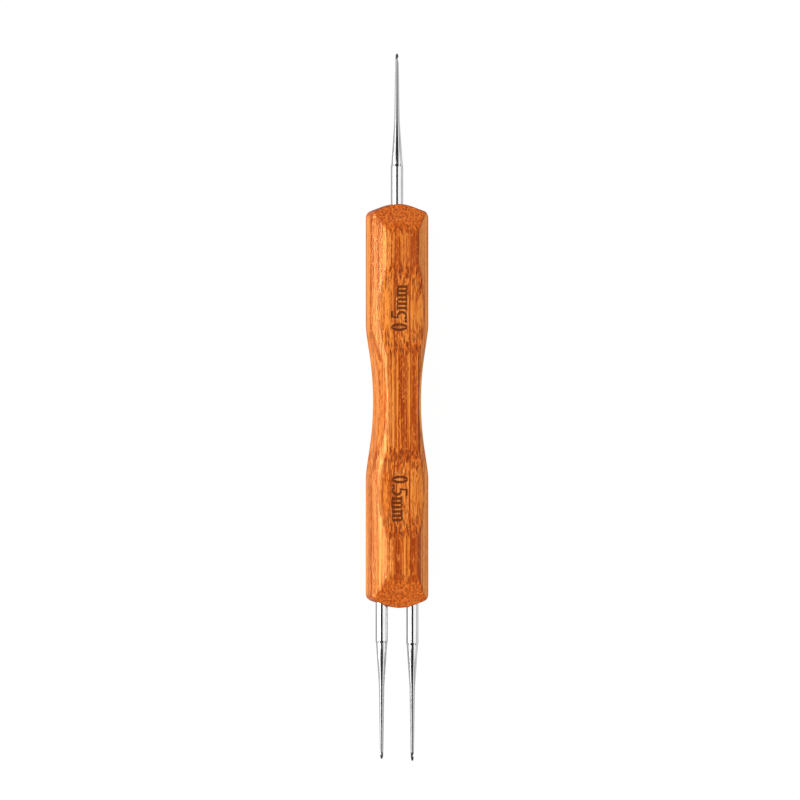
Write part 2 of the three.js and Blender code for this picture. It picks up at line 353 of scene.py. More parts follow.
class Finish:
    """A material or a world, and the nodes that are drawn for it."""

    def __init__(self, holder, output="ShaderNodeOutputMaterial"):
        self.holder = holder
        self.output = output
        holder.use_nodes = True
        self.tree = holder.node_tree
        self.tree.nodes.clear()

    def node(self, kind, settings=None, sockets=None, output=0):
        """Adds a node: its settings, then the values or links of its sockets. Gives one output, if any."""
        made = self.tree.nodes.new(kind)
        for name, value in (settings or {}).items():
            setattr(made, name, value)
        for name, value in (sockets or {}).items():
            if isinstance(value, Value):
                self.tree.links.new(value.socket, made.inputs[name])
            else:
                made.inputs[name].default_value = value
        return Value(self, made.outputs[output]) if made.outputs else None

    def maths(self, operation, *values):
        """One Math node."""
        return self.node("ShaderNodeMath", {"operation": operation}, dict(enumerate(values)))

    def rise(self, value, low, high):
        """From 0 at the low value to 1 at the high one, smoothly. The two may be the other way round."""
        if low > high:
            value, low, high = 0 - value, -low, -high
        sockets = {"Value": value, "From Min": low, "From Max": high}
        return self.node("ShaderNodeMapRange", {"interpolation_type": "SMOOTHSTEP"}, sockets)

    def coats(self, base, *layers):
        """A colour with others laid over it in turn, each as far as its amount says."""
        base = (*base, 1)
        for over, amount in layers:
            sockets = {"Factor": amount, 6: base, 7: (*over, 1)}
            base = self.node("ShaderNodeMix", {"data_type": "RGBA"}, sockets, 2)
        return base

    def between(self, value, start, stop):
        """Rises from 0 to 1 in the first range, and falls again in the second."""
        return self.rise(value, *start) * self.rise(value, *stop)

    def point(self, x, y, z):
        """A vector of three values."""
        return self.node("ShaderNodeCombineXYZ", None, {"X": x, "Y": y, "Z": z})

    def noise(self, place, detail=2, roughness=0.5):
        """Cloudy noise from 0 to 1."""
        sockets = {"Vector": place, "Scale": 1, "Detail": detail, "Roughness": roughness}
        return self.node("ShaderNodeTexNoise", None, sockets)

    def grain(self, place, waves, pattern=0, detail=1, roughness=0.5):
        """Noise drawn out along the fibres, for a place in millimetres. A pattern's number picks one."""
        across, along, *apart = waves
        shift = [part * pattern for part in apart or (0, 0, 0)]
        sockets = {"Vector": self.point(*place), "Location": shift, "Scale": (across, along, across)}
        return self.noise(self.node("ShaderNodeMapping", None, sockets), detail, roughness)

    def split(self, vector):
        """The three parts of a vector or a colour."""
        spread = self.node("ShaderNodeSeparateXYZ", None, {"Vector": vector})
        return spread, spread.other("Y"), spread.other("Z")

    def millimetres(self):
        """The place on the object in millimetres, in three parts."""
        return [part / MM for part in self.split(self.node("ShaderNodeTexCoord", output="Object"))]

    def measure(self, name):
        """A number that the mesh carries at each point."""
        return self.node("ShaderNodeAttribute", {"attribute_name": name}, output="Fac")

    def covered(self, base, roughness, height, relief, more=None):
        """The material, with a surface of the given relief, which is a depth and a strength."""
        depth, strength = relief
        bump = self.node("ShaderNodeBump", None, {"Height": height, "Distance": depth, "Strength": strength})
        sockets = {"Base Color": base, "Roughness": roughness, "Normal": bump, **(more or {})}
        return self.close(self.node("ShaderNodeBsdfPrincipled", None, sockets))

    def seen(self):
        """1 for the rays of the camera, of reflections and of clear glass, and 0 for those of light."""
        path = self.node("ShaderNodeLightPath", output="Is Camera Ray")
        seen = path.maths("MAXIMUM", path.other("Is Glossy Ray"))
        return seen.maths("MAXIMUM", path.other("Is Transmission Ray"))

    def close(self, shader):
        """Links the shader to the output, and gives the material or world."""
        self.node(self.output, None, {"Surface": shader})
        return self.holder


def new_finish(name):
    """The nodes of a new material."""
    return Finish(bpy.data.materials.new(name))


def bamboo(handle, looks, name):
    """Stained bamboo for one strip. Its fibres run along Y, so a cut across them shows their ends as dots."""
    wood = new_finish(f"bamboo_{name}")
    strip = STRIPS.index(name)
    x, y, z = wood.millimetres()
    sideways, endways, _ = wood.split(wood.node("ShaderNodeNewGeometry", output="Normal"))
    turned = abs(sideways)
    lean = abs(endways)
    cut_across = wood.rise(lean, *CUT_LEANS)
    end_cut = wood.rise(lean, *END_LEANS)

    # The grain strays a little from a straight line, each strip in its own way
    drift = wood.grain((x, y, z), WANDER_WAVES, strip, detail=2)
    aside, aloft, _ = wood.split(drift.other("Color"))
    wander = 2 * looks.wander / MM
    across = x + (aside - 0.5) * wander
    upward = z + (aloft - 0.5) * wander
    strayed = (across, y, upward)

    # Streaks of three widths, all much longer than wide, with painted light making the finger rests paler
    broad = wood.grain(strayed, BROAD_WAVES, strip)
    middling = wood.grain(strayed, STREAK_WAVES, strip)
    fine = wood.grain(strayed, FINE_WAVES, strip)
    half = handle.thickness / 2 / MM
    painted_rest_light = wood.rise(abs(z - half), half - REST_DEPTHS[0], half - REST_DEPTHS[1])
    tone = broad * BROAD_PART + middling * STREAK_PART + fine * FINE_PART
    tone = tone + STRIP_TONES[strip] + painted_rest_light * REST_LIGHT_TONES[strip]

    # Dull rose streaks
    uncut = 1 - end_cut
    rose = wood.rise(wood.grain(strayed, ROSE_WAVES, 1), *ROSE_TONES) * uncut

    # The bundles of fibre, dots where a cut crosses them and dashes where it runs along them
    spacing = looks.bundle_spacing / MM
    cell = wood.point(across / spacing, upward / spacing, 0.0)
    sockets = {"Vector": cell, "Scale": 1, "Randomness": 0.85}
    bundle = wood.node("ShaderNodeTexVoronoi", {"voronoi_dimensions": "2D"}, sockets)
    tint, _, _ = wood.split(bundle.other("Color"))
    broken = wood.grain(strayed, BREAK_WAVES)
    dots = wood.rise(bundle, *BUNDLE_EDGE) * (0.7 + 0.2 * tint + 0.2 * wood.rise(broken, *BROKEN_TONES))

    # They show darker where they are cut across, but less so at the ends
    near_end = wood.rise(abs(y), *END_PLACES)
    shown = 0.25 + 0.85 * cut_across * (1 - 0.45 * near_end) - (0.55 - 0.38 * near_end) * end_cut

    # Pores, short and fine, with pale flecks between them
    pores = wood.grain(strayed, PORE_WAVES, detail=2, roughness=0.6)

    # The glue lines between the strips are darker. Painted shade darkens the chamfers' edges, broken up by
    # noise, the rounded corners between the chamfers and the sides but for the waist, and the lower part of
    # the left chamfers
    seam = wood.rise(abs(abs(x) - handle.centre_strip / 2 / MM), *SEAM_EDGE) * uncut
    edge = wood.rise(wood.measure("edge_distance"), *CHAMFER_EDGE) * wood.rise(broken, *BROKEN_EDGE_TONES)
    corner = wood.between(turned, *CORNER_TURNS) * uncut
    corner = corner * wood.rise(abs(y - handle.carving_shift / MM), *WAIST_PLACES)
    chamfer = wood.between(0 - sideways, *CHAMFER_TURNS) * wood.rise(abs(z - half), *LOW_HEIGHTS) * uncut

    # The burned mark, with a patchy edge
    patchy = wood.noise(wood.point(x * PATCH_WAVES, y * PATCH_WAVES, z))
    burned = wood.rise(wood.measure("mark_distance") + (patchy - 0.5) * 0.24, *MARK_EDGE)

    base = wood.coats(
        looks.wood,
        (looks.wood_pale, wood.rise(tone, *PALE_TONES)),
        (looks.wood_deep, wood.rise(tone, *DEEP_TONES) * 0.9),
        (looks.wood_rose, rose * ROSE_PARTS[strip]),
        (looks.wood_end, cut_across * 0.4 + end_cut * 0.25),
        (looks.fibre, dots * shown),
        (looks.fibre, wood.rise(lean, *STEEP_LEANS) * 0.7),
        (looks.wood_deep, wood.rise(pores, *DARK_PORES) * 0.5),
        (looks.wood_pale, wood.rise(pores, *PALE_PORES) * (0.7 - 0.4 * end_cut)),
        # the dark glue lines, and painted shade along the chamfers' edges
        (looks.wood_deep, seam.maths("MAXIMUM", edge) * 0.65),
        # painted shade on the rounded corners between chamfers and sides, and low on the left chamfers
        (looks.wood_deep, corner * 0.7),
        (looks.wood_deep, chamfer * 0.4),
        (looks.burn, burned * 0.9),
    )
    height = pores * 0.9 + fine * 0.5 - dots * 0.5
    roughness = looks.wood_roughness + (pores - 0.5) * 0.3 + dots * 0.1 + burned * 0.25 + cut_across * 0.15
    return wood.covered(base, roughness, height, WOOD_RELIEF, WOOD_SHEEN)


def polished_steel(looks):
    """Ground and polished steel, with fine turning marks around each pin."""
    steel = new_finish("polished_steel")
    x, y, z = steel.millimetres()
    turning = steel.grain((x, y, z), TURNING_WAVES, detail=4, roughness=0.7)
    stains = steel.grain((x, y, z), STAIN_WAVES, detail=2)
    # The heads are painted darker, standing in for the dark reflection that they show, and are rougher
    dull = steel.rise(abs(y), *HEAD_PLACES)
    stained = steel.rise(stains, *STEEL_STAINS) * 0.3
    base = steel.coats(looks.steel, (STAINED_STEEL, stained), (looks.dark_head_steel, dull))
    roughness = looks.steel_roughness + turning * 0.08 + dull * 0.2
    return steel.covered(base, roughness, turning, STEEL_RELIEF, {"Metallic": 1.0})


def cured_glue(looks):
    """Amber glue with faint clouds."""
    glue = new_finish("cured_glue")
    cloud = glue.grain(glue.millimetres(), CLOUD_WAVES, detail=3)
    darker = [level * 0.7 for level in looks.glue]
    base = glue.coats(looks.glue, (darker, glue.rise(cloud, *GLUE_CLOUDS)))
    return glue.covered(base, 0.2 + cloud * 0.15, cloud, GLUE_RELIEF)


def fillet(first, second, cosine, radius):
    """How far points lie outside two planes with a rounded edge, from how far they lie outside each.

    The cosine is that of the angle between the planes' normals.
    """
    ahead = (first + radius - cosine * (second + radius)) / (1 - cosine**2)
    aside = (second + radius - cosine * (first + radius)) / (1 - cosine**2)
    around = np.sqrt(np.maximum(ahead**2 + aside**2 + 2 * cosine * ahead * aside, 0)) - radius
    return np.where((ahead > 0) & (aside > 0), around, np.maximum(first, second))


def eased(first, second, width):
    """The larger of two distances, with the step from one to the other softened."""
    part = np.clip(0.5 + (first - second) / (2 * width), 0, 1)
    return second + (first - second) * part + width * part * (1 - part)


def slopes(handle, x, y, fall, shift):
    """How far points lie outside one end's slopes, first with a round apex and then with round shoulders."""
    half = handle.width / 2
    tip = handle.length / 2 + handle.apex_radius * (math.hypot(fall, half) / half - 1)
    right = math.hypot(fall, half - shift)
    left = math.hypot(fall, half + shift)
    on_right = ((x - shift) * fall + (y - tip) * (half - shift)) / right
    on_left = ((shift - x) * fall + (y - tip) * (half + shift)) / left
    apex = fillet(on_right, on_left, (half**2 - shift**2 - fall**2) / right / left, handle.apex_radius)
    right_shoulder = fillet(on_right, x - half, fall / right, handle.shoulder_radius)
    left_shoulder = fillet(on_left, -x - half, fall / left, handle.shoulder_radius)
    return apex, np.maximum(right_shoulder, left_shoulder)


def end_distance(handle, x, y, front, chamfer, fall, shift, bevel, roll):
    """How far points lie outside one end, with its edges rounded and before.

    The front and the chamfer are how far they lie outside those faces.
    """
    apex, shoulder = slopes(handle, x, y, fall, shift)
    rise = (handle.thickness - handle.end_land) / 2
    slant = math.hypot(rise, bevel)
    steep = ((y - handle.length / 2) * rise + (front + rise) * bevel) / slant
    rolled = fillet(steep, front, bevel / slant, roll)
    crest = fillet(apex, rolled, rise / slant, handle.crest_radius)
    edges = np.maximum(eased(chamfer, rolled, handle.easing), eased(chamfer, apex, handle.easing))
    return np.array([np.maximum.reduce([shoulder, crest, edges]), np.maximum(rolled, apex)])


def drum_distance(across, along, reach, radius):
    """How deep points lie inside a sanding drum that faces the handle."""
    return radius - np.hypot(across - reach - radius, along)


def carving(handle, across, aside, along, radius, reach, roll, rolled_reach):
    """How deep points lie inside one drum's passes, flat on and with the handle rolled to ease the edges."""
    rolled = across * math.cos(roll) + aside * math.sin(roll)
    flat = drum_distance(across, along, reach, radius)
    return eased(flat, drum_distance(rolled, along, rolled_reach / 2, radius), handle.easing)


def handle_distance(handle, points):
    """How far points lie outside the carved handle, and how near they are to the chamfers' edges.

    The handle's axis is at x = 0 and z = 0.
    """
    x = np.abs(points[:, 0])
    z = np.abs(points[:, 2])
    y = points[:, 1]
    front = z - handle.thickness / 2
    side = x - handle.width / 2
    run = (handle.width - handle.front_land) / 2
    drop = (handle.thickness - handle.side_land) / 2
    slant = math.hypot(run, drop)
    chamfer = ((x - handle.front_land / 2) * drop + front * run) / slant
    upper = fillet(front, chamfer, run / slant, handle.front_radius)
    lower = fillet(chamfer, side, drop / slant, handle.side_radius)
    single = (handle.single_fall, 0, handle.single_bevel, handle.single_roll)
    twin = (handle.twin_fall, handle.twin_shift, handle.twin_bevel, handle.twin_roll)
    ends, end_faces = np.maximum(
        end_distance(handle, points[:, 0], y, front, chamfer, *single),
        end_distance(handle, points[:, 0], -y, front, chamfer, *twin),
    )

    along = y - handle.carving_shift
    sizes = (handle.waist_drum, handle.waist / 2, handle.waist_roll, handle.rolled_waist)
    waist = carving(handle, x, z, along, *sizes)
    along = np.abs(along) - handle.rest_spacing / 2
    deepest = handle.thickness / 2 - handle.rest_depth
    sizes = (handle.rest_drum, deepest, handle.rest_roll, handle.rolled_rest)
    carved = eased(waist, carving(handle, z, x, along, *sizes), handle.easing)
    blank = np.maximum.reduce([upper, lower, ends])
    nearness = np.abs(chamfer - np.maximum.reduce([front, side, end_faces, carved]))
    return eased(blank, carved, handle.easing), nearness


def surface(handle, starts, headings):
    """Where rays from inside the handle leave it."""
    near = np.zeros(len(starts))
    far = np.full(len(starts), handle.width)
    for _ in range(HALVINGS):
        middle = (near + far) / 2
        outside = handle_distance(handle, starts + headings * middle[:, None])[0] > 0
        near = np.where(outside, near, middle)
        far = np.where(outside, middle, far)
    return starts + headings * near[:, None]


# The size mark: strokes in its own plane, u along the reading and v up, in millimetres. Each is a list of
# points and a half width.
FIGURE_HEIGHT = 3.3
LETTER_HEIGHT = 2.15


def arc(u, v, across, up, start, end, steps=24):
    """Points on part of an ellipse, with angles in degrees."""
    turns = np.radians(np.linspace(start, end, steps))
    return np.column_stack([u + across * np.cos(turns), v + up * np.sin(turns)])


def letter_m(u, height):
    """One small m with serifs, from its left foot."""
    stems = (u + 0.45, u + 1.35, u + 2.25)
    top = height - 0.1
    strokes = [([(stem, 0.1), (stem, height - 0.45)], 0.19) for stem in stems]
    strokes += [([(stem - 0.32, 0.06), (stem + 0.32, 0.06)], 0.07) for stem in stems]
    strokes += [(arc(stem + 0.45, height - 0.62, 0.45, 0.5, 10, 170), 0.1) for stem in stems[:2]]
    return strokes + [([(u + 0.1, top), (u + 0.45, top), (u + 0.45, 0.1)], 0.09)]


def size_mark():
    """The strokes of 0.5mm."""
    middle = FIGURE_HEIGHT / 2
    top = FIGURE_HEIGHT - 0.16
    strokes = [
        (arc(0.75, middle, 0.6, middle - 0.09, 0, 360, 40), 0.09),
        (arc(0.75, middle, 0.56, middle - 0.2, -48, 48), 0.17),
        (arc(0.75, middle, 0.56, middle - 0.2, 132, 228), 0.17),
        ([(2.05, 0.2), (2.05, 0.22)], 0.2),
        ([(2.95, top), (3.95, top)], 0.16),
        ([(2.95, top), (2.78, middle + 0.15)], 0.08),
        (arc(3.1, 1.02, 0.85, 0.92, 112, -118), 0.12),
        (arc(3.15, 1.02, 0.78, 0.8, 45, -45), 0.18),
        ([(2.66, 0.3), (2.72, 0.2)], 0.17),
    ]
    return strokes + letter_m(4.35, LETTER_HEIGHT) + letter_m(7.05, LETTER_HEIGHT)


def stroke_distance(u, v):
    """How far points lie outside the mark's strokes, in millimetres."""
    nearest = np.full(len(u), 1.0)
    for points, half_width in size_mark():
        for (au, av), (bu, bv) in zip(points[:-1], points[1:]):
            run = (bu - au) ** 2 + (bv - av) ** 2 or 1
            along = np.clip(((u - au) * (bu - au) + (v - av) * (bv - av)) / run, 0, 1)
            gap = np.hypot(u - au - along * (bu - au), v - av - along * (bv - av))
            nearest = np.minimum(nearest, gap - half_width)
    return nearest


# Where the two marks start, and where their feet stand: the upper one reads up, and the lower one down
UPPER_MARK = (15.9, 1.05)
LOWER_MARK = (-14.8, -2.05)
MARK_LENGTH = 9.9
MARK_MARGIN = 0.3
MARK_WALL = 0.12


def mark_distance(points):
    """How far the front's points lie outside the two marks, in millimetres."""
    x = points[:, 0] / MM
    y = points[:, 1] / MM
    distance = np.full(len(points), 1.0)
    for u, v in ((y - UPPER_MARK[0], UPPER_MARK[1] - x), (LOWER_MARK[0] - y, x - LOWER_MARK[1])):
        near = (points[:, 2] > 0) & (u > -1) & (u < MARK_LENGTH + 1) & (v > -1) & (v < FIGURE_HEIGHT + 1)
        distance[near] = np.minimum(distance[near], stroke_distance(u[near], v[near]))
    return distance


def rows(handle):
    """Where the rays of one column start along the handle, and how far they lean towards its ends."""
    last = handle.length / 2 - FAN_SETBACK
    stops = [-last]
    while stops[-1] < last - PLAIN_STEP / 2:
        here = stops[-1] / MM
        low = LOWER_MARK[0] - MARK_LENGTH - MARK_MARGIN < here < LOWER_MARK[0] + MARK_MARGIN
        high = UPPER_MARK[0] - MARK_MARGIN < here < UPPER_MARK[0] + MARK_LENGTH + MARK_MARGIN
        stops.append(stops[-1] + (FINE_STEP if low or high else PLAIN_STEP))
    lean = np.linspace(math.pi / 2, 0, FAN_RAYS, endpoint=False)
    starts = np.concatenate([np.full(FAN_RAYS, -last), stops, np.full(FAN_RAYS, last)])
    return starts, np.concatenate([-lean, np.zeros(len(stops)), lean[::-1]])


def grid(x, y, z):
    """Points of the given parts, which fill one grid together."""
    return np.stack(np.broadcast_arrays(x, y, z), axis=-1)


def sheet(handle, x, turns):
    """The handle's surface along a grid of rays, and how far its points lie from the marks and the edges.

    Each column's rays start at its x, and turn from +X to +Z.
    """
    starts, leans = rows(handle)
    level = np.cos(leans)[:, None]
    start = grid(x + 0 * turns, starts[:, None], 0)
    heading = grid(level * np.cos(turns), np.sin(leans)[:, None], level * np.sin(turns))
    points = surface(handle, start.reshape(-1, 3), heading.reshape(-1, 3))
    edge = handle_distance(handle, points)[1] / MM
    distance = mark_distance(points)
    burned = np.clip(0.5 - distance / MARK_WALL, 0, 1)
    points[:, 2] -= handle.mark_depth * burned**2 * (3 - 2 * burned)
    return points.reshape(*start.shape), np.column_stack([distance, edge])


def skin(numbers):
    """The faces of a grid of vertex numbers, with three corners where two of the four are one."""
    corners = (numbers[:-1, :-1], numbers[1:, :-1], numbers[1:, 1:], numbers[:-1, 1:])
    faces = []
    for face in zip(*(corner.ravel().tolist() for corner in corners)):
        kept = list(dict.fromkeys(face))
        if len(kept) > 2:
            faces.append(kept)
    return faces


def column_turns(handle, seam):
    """The turns of an outer strip's columns, from the front of its seam round to the back."""
    turns = np.radians(np.linspace(90, -90, RING_RAYS))
    start = grid(seam, handle.rest_spacing / 2, 0 * turns)
    ring = surface(handle, start, grid(np.cos(turns), 0, np.sin(turns)))
    walked = np.concatenate([[0], np.cumsum(np.linalg.norm(np.diff(ring, axis=0), axis=1))])
    fine = np.arange(0, FINE_BAND, FINE_STEP)
    stops = np.concatenate([fine, np.linspace(FINE_BAND, walked[-1], round(walked[-1] / ROUND_STEP))])
    return np.interp(stops, walked, turns)


def outer_strip(handle, side):
    """The points, marks and faces of an outer strip. The side is 1 on the right and -1 on the left."""
    seam = handle.centre_strip / 2
    turns = column_turns(handle, seam)
    if side < 0:
        turns = math.pi - turns
    points, details = sheet(handle, side * seam, turns)
    numbers = np.arange(points.shape[0] * points.shape[1]).reshape(points.shape[:2])
    numbers[0] = numbers[0, 0]
    numbers[-1] = numbers[-1, 0]
    wall = numbers[:, [0, -1]]
    return points.reshape(-1, 3), details, skin(numbers) + skin(wall)


def centre_strip(handle):
    """The points, marks and faces of the centre strip."""
    seam = handle.centre_strip / 2
    x = np.linspace(-seam, seam, round(handle.centre_strip / FINE_STEP))
    front, front_details = sheet(handle, x, np.full(len(x), math.pi / 2))
    back, back_details = sheet(handle, x, np.full(len(x), -math.pi / 2))
    numbers = np.arange(front.shape[0] * front.shape[1]).reshape(front.shape[:2])
    behind = numbers + numbers.size
    behind[0] = numbers[0]
    behind[-1] = numbers[-1]
    faces = skin(numbers) + skin(behind)
    for end in (0, -1):
        faces += skin(np.column_stack([numbers[:, end], behind[:, end]]))
    points = np.concatenate([front.reshape(-1, 3), back.reshape(-1, 3)])
    return points, np.concatenate([front_details, back_details]), faces


def put(name, data, matrix=Matrix()):
    """Puts an object of the given data into the scene."""
    made = bpy.data.objects.new(name, data)
    made.matrix_world = matrix
    bpy.context.scene.collection.objects.link(made)
    return made


def put_sheet(name, finish, shader, width, first, last, matrix=Matrix()):
    """Puts a flat sheet into the scene, from one place along Y to another, and then moved by the matrix."""
    half = width / 2
    corners = [(-half, first, 0), (half, first, 0), (half, last, 0), (-half, last, 0)]
    mesh = bpy.data.meshes.new(name)
    mesh.from_pydata(corners, [], [(0, 1, 2, 3)])
    mesh.transform(matrix)
    mesh.materials.append(finish.close(shader))
    return put(name, mesh)


def closed_mesh(name, points, faces, details=None):
    """A mesh object of the given points and faces, with no loose points and its faces turned out.

    The details are how far each point lies from the burned marks and from the nearest edge, in millimetres.
    """
    mesh = bpy.data.meshes.new(name)
    mesh.from_pydata(points.tolist(), [], faces)
    if details is not None:
        for column, attribute in enumerate(("mark_distance", "edge_distance")):
            carried = mesh.attributes.new(attribute, "FLOAT", "POINT")
            carried.data.foreach_set("value", details[:, column].copy())
    form = bmesh.new()
    form.from_mesh(mesh)
    bmesh.ops.delete(form, geom=[vertex for vertex in form.verts if not vertex.link_faces], context="VERTS")
    bmesh.ops.recalc_face_normals(form, faces=form.faces)
    form.to_mesh(mesh)
    form.free()
    return put(name, mesh)


def lathe(name, wall):
    """A closed form turned about Y. Each point of its wall is a radius and a height, from axis to axis."""
    turns = np.linspace(0, 2 * math.pi, PIN_SIDES, endpoint=False)
    radius, height = np.array(wall).T[:, :, None]
    points = grid(radius * np.cos(turns), height, radius * np.sin(turns))
    numbers = np.arange(len(wall) * PIN_SIDES).reshape(len(wall), PIN_SIDES)
    numbers[0] = numbers[0, 0]
    numbers[-1] = numbers[-1, 0]
    numbers = np.column_stack([numbers, numbers[:, 0]])
    return closed_mesh(name, points.reshape(-1, 3), skin(numbers))


def cut(piece, tool):
    """Cuts the tool's form out of the piece, and drops the tool."""
    modifier = piece.modifiers.new("cut", "BOOLEAN")
    modifier.operation = "DIFFERENCE"
    modifier.solver = "EXACT"
    modifier.object = tool
    settled = piece.evaluated_get(bpy.context.evaluated_depsgraph_get())
    mesh = bpy.data.meshes.new_from_object(settled)
    piece.modifiers.clear()
    piece.data = mesh
    bpy.data.objects.remove(tool)


def wound(handle, name, places):
    """Where points of a strip's outside lie round its own axis and along the handle, as the rays met them.

    Both go from 0 to 1. The axis is the line that the rays start from.
    """
    last = handle.length / 2 - FAN_SETBACK
    past = np.maximum(np.abs(places[:, 1]) - last, 0)
    if name == "centre":
        across = (places[:, 0] + handle.centre_strip / 2) / handle.centre_strip
        radius = np.abs(places[:, 2])
    else:
        side = np.abs(places[:, 0]) - handle.centre_strip / 2
        across = np.arctan2(places[:, 2], side) / math.pi + 0.5
        radius = np.hypot(places[:, 2], side)
    along = np.minimum(np.abs(places[:, 1]), last) + FAN_SETBACK * np.arctan2(past, radius)
    return across, along / (handle.length / 2 * MAP_REACH)


def inset(low, span, part):
    """A place in one band of the map, kept off the band's edges. The part is from 0 to 1."""
    return low + MAP_EDGE + (span - 2 * MAP_EDGE) * part


def add_bake_map(handle, strip, name, radius, drill):
    """Lays the strip out on a square: bands for the outside, and narrow ones for the hidden faces."""
    mesh = strip.data
    places = np.zeros((len(mesh.vertices), 3))
    mesh.vertices.foreach_get("co", places.ravel())
    corners = np.zeros(len(mesh.loops), dtype=int)
    mesh.loops.foreach_get("vertex_index", corners)
    counts = np.zeros(len(mesh.polygons), dtype=int)
    mesh.polygons.foreach_get("loop_total", counts)
    firsts = np.cumsum(counts) - counts
    face = np.repeat(np.arange(len(counts)), counts)
    at = places[corners] - (0, 0, handle.thickness / 2)

    middle = np.add.reduceat(at, firsts)[face] / counts[face, None]
    inside = np.hypot(at[:, 0] - drill.x, at[:, 2]) < radius + FLUSH
    bored = np.logical_and.reduceat(inside, firsts)[face] & (middle[:, 1] * drill.y > 0)
    on_wall = np.abs(np.abs(at[:, 0]) - handle.centre_strip / 2) < FLUSH
    walled = np.logical_and.reduceat(on_wall, firsts)[face] & ~bored

    across, along = wound(handle, name, at)
    bands = 4 if name == "centre" else 2
    band = (middle[:, 1] > 0) + (bands - 2) * (middle[:, 2] > 0)
    span = (1 - HIDDEN_SHARE) / bands
    outside = inset(HIDDEN_SHARE + span * band, span, across)

    row = np.where(walled, (middle[:, 0] > 0).astype(int), 2)
    turn = np.arctan2(at[:, 2], at[:, 0] - drill.x) / (2 * math.pi) + 0.5
    flat = np.where(walled, at[:, 2] / handle.thickness + 0.5, turn)
    span = HIDDEN_SHARE / 3
    hidden = walled | bored
    ahead = np.where(at[:, 1] * middle[:, 1] > 0, along, 0)
    u = inset(0, 1, np.where(hidden, at[:, 1] / handle.length + 0.5, ahead))
    v = np.where(hidden, inset(span * row, span, flat), outside)
    layer = mesh.uv_layers.new(name="OFBake", do_init=False)
    layer.uv.foreach_set("vector", np.column_stack([u, v]).ravel())


def seats(handle):
    """Where the pin of each strip enters the wood and which way it points, as a matrix."""
    axis = handle.thickness / 2
    twin = (twin_low.x + twin_high.x) / 2
    end = handle.length / 2
    return {
        "centre": Matrix.Translation((0, end, axis)),
        "left": Matrix.Translation((-twin, -end, axis)) @ Matrix.Rotation(math.pi, 4, "Z"),
        "right": Matrix.Translation((twin, -end, axis)) @ Matrix.Rotation(math.pi, 4, "X"),
    }


def bore(handle, steel, seat):
    """The form of the drill that bores for one pin."""
    radius = steel.shank / 2 + handle.bore_gap
    point = radius / math.tan(handle.drill_point / 2)
    bottom = -handle.bore_depth
    wall = [(0, bottom - point), (radius, bottom), (radius, steel.shank), (0, steel.shank)]
    drill = lathe("drill", wall)
    drill.data.transform(seat)
    return drill


def held_edges(wall):
    """The same profile with a point added near both ends of each part that is long enough."""
    held = [wall[0]]
    for first, last in zip(wall[:-1], wall[1:]):
        long = math.dist(first, last)
        if long > 4 * EDGE_HOLD:
            for part in (EDGE_HOLD / long, 1 - EDGE_HOLD / long):
                held.append(tuple(a + (b - a) * part for a, b in zip(first, last)))
        held.append(last)
    return held


def hook_wall(steel, embedded, reach, working):
    """The turned profile of one hook, from its end in the wood to its tip."""
    radius = steel.shank / 2
    shoulder = reach - working
    throat_end = reach - steel.lip_setback + steel.undercut - steel.throat_ramp
    taper_start = radius - steel.step_height
    wall = [(0, -embedded), (radius - steel.chamfer, -embedded), (radius, steel.chamfer - embedded)]
    wall += [(radius, shoulder), (taper_start, shoulder + steel.step_length)]
    wall.append((steel.taper_end / 2, shoulder + steel.taper_length))
    wall.append((steel.neck / 2, throat_end))
    wall = held_edges(wall)
    for step in range(NOSE_STEPS):
        lift = math.pi / 2 * step / NOSE_STEPS
        wall.append((steel.head / 2 * math.cos(lift), reach - steel.nose * (1 - math.sin(lift))))
    return wall + [(0, reach)]


def throat(steel, tip):
    """The slot that is ground into one head."""
    neck = steel.neck / 2
    floor = steel.throat_steel - neck
    deepest = tip - steel.lip_setback + steel.undercut
    outer = steel.shank / 2
    reach = (outer - floor) / (neck - floor)
    corner = Vector((floor, deepest))
    upper = Vector((outer, deepest - steel.undercut * reach))
    lower = Vector((outer, deepest - steel.throat_ramp * reach))
    up = (upper - corner).normalized()
    down = (lower - corner).normalized()
    half = up.angle(down) / 2
    centre = corner + (up + down).normalized() * steel.throat_radius / math.sin(half)
    first = corner + up * steel.throat_radius / math.tan(half) - centre
    turn = math.pi - 2 * half
    outline = [upper]
    for step in range(THROAT_STEPS + 1):
        outline.append(centre + Matrix.Rotation(turn * step / THROAT_STEPS, 2) @ first)
    outline.append(lower)
    x, y = np.array(outline).T
    points = grid(x, y, [[-outer], [outer]])
    numbers = np.arange(2 * len(outline)).reshape(2, -1)
    faces = skin(np.column_stack([numbers, numbers[:, 0]]))
    return closed_mesh("grinder", points.reshape(-1, 3), faces + [numbers[0].tolist(), numbers[1].tolist()])


def finish_piece(piece, sharp, material, node):
    """Shades a piece smoothly, but for its sharp edges, gives it its material, hangs it on the body and hides
    the node it replaces.
    """
    piece.data.polygons.foreach_set("use_smooth", [True] * len(piece.data.polygons))
    piece.data.set_sharp_from_angle(angle=sharp * DEG)
    piece.data.materials.clear()
    piece.data.materials.append(material)
    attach(piece, BODY)
    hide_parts(node)


def facing(handle, turn, right, up, distance):
    """A stand for what looks down at the handle's axis, turned to the left of straight above, as a matrix."""
    axis = Matrix.Translation((0, 0, handle.thickness / 2))
    return axis @ Matrix.Rotation(-turn, 4, "Y") @ Matrix.Translation((right, up, distance))


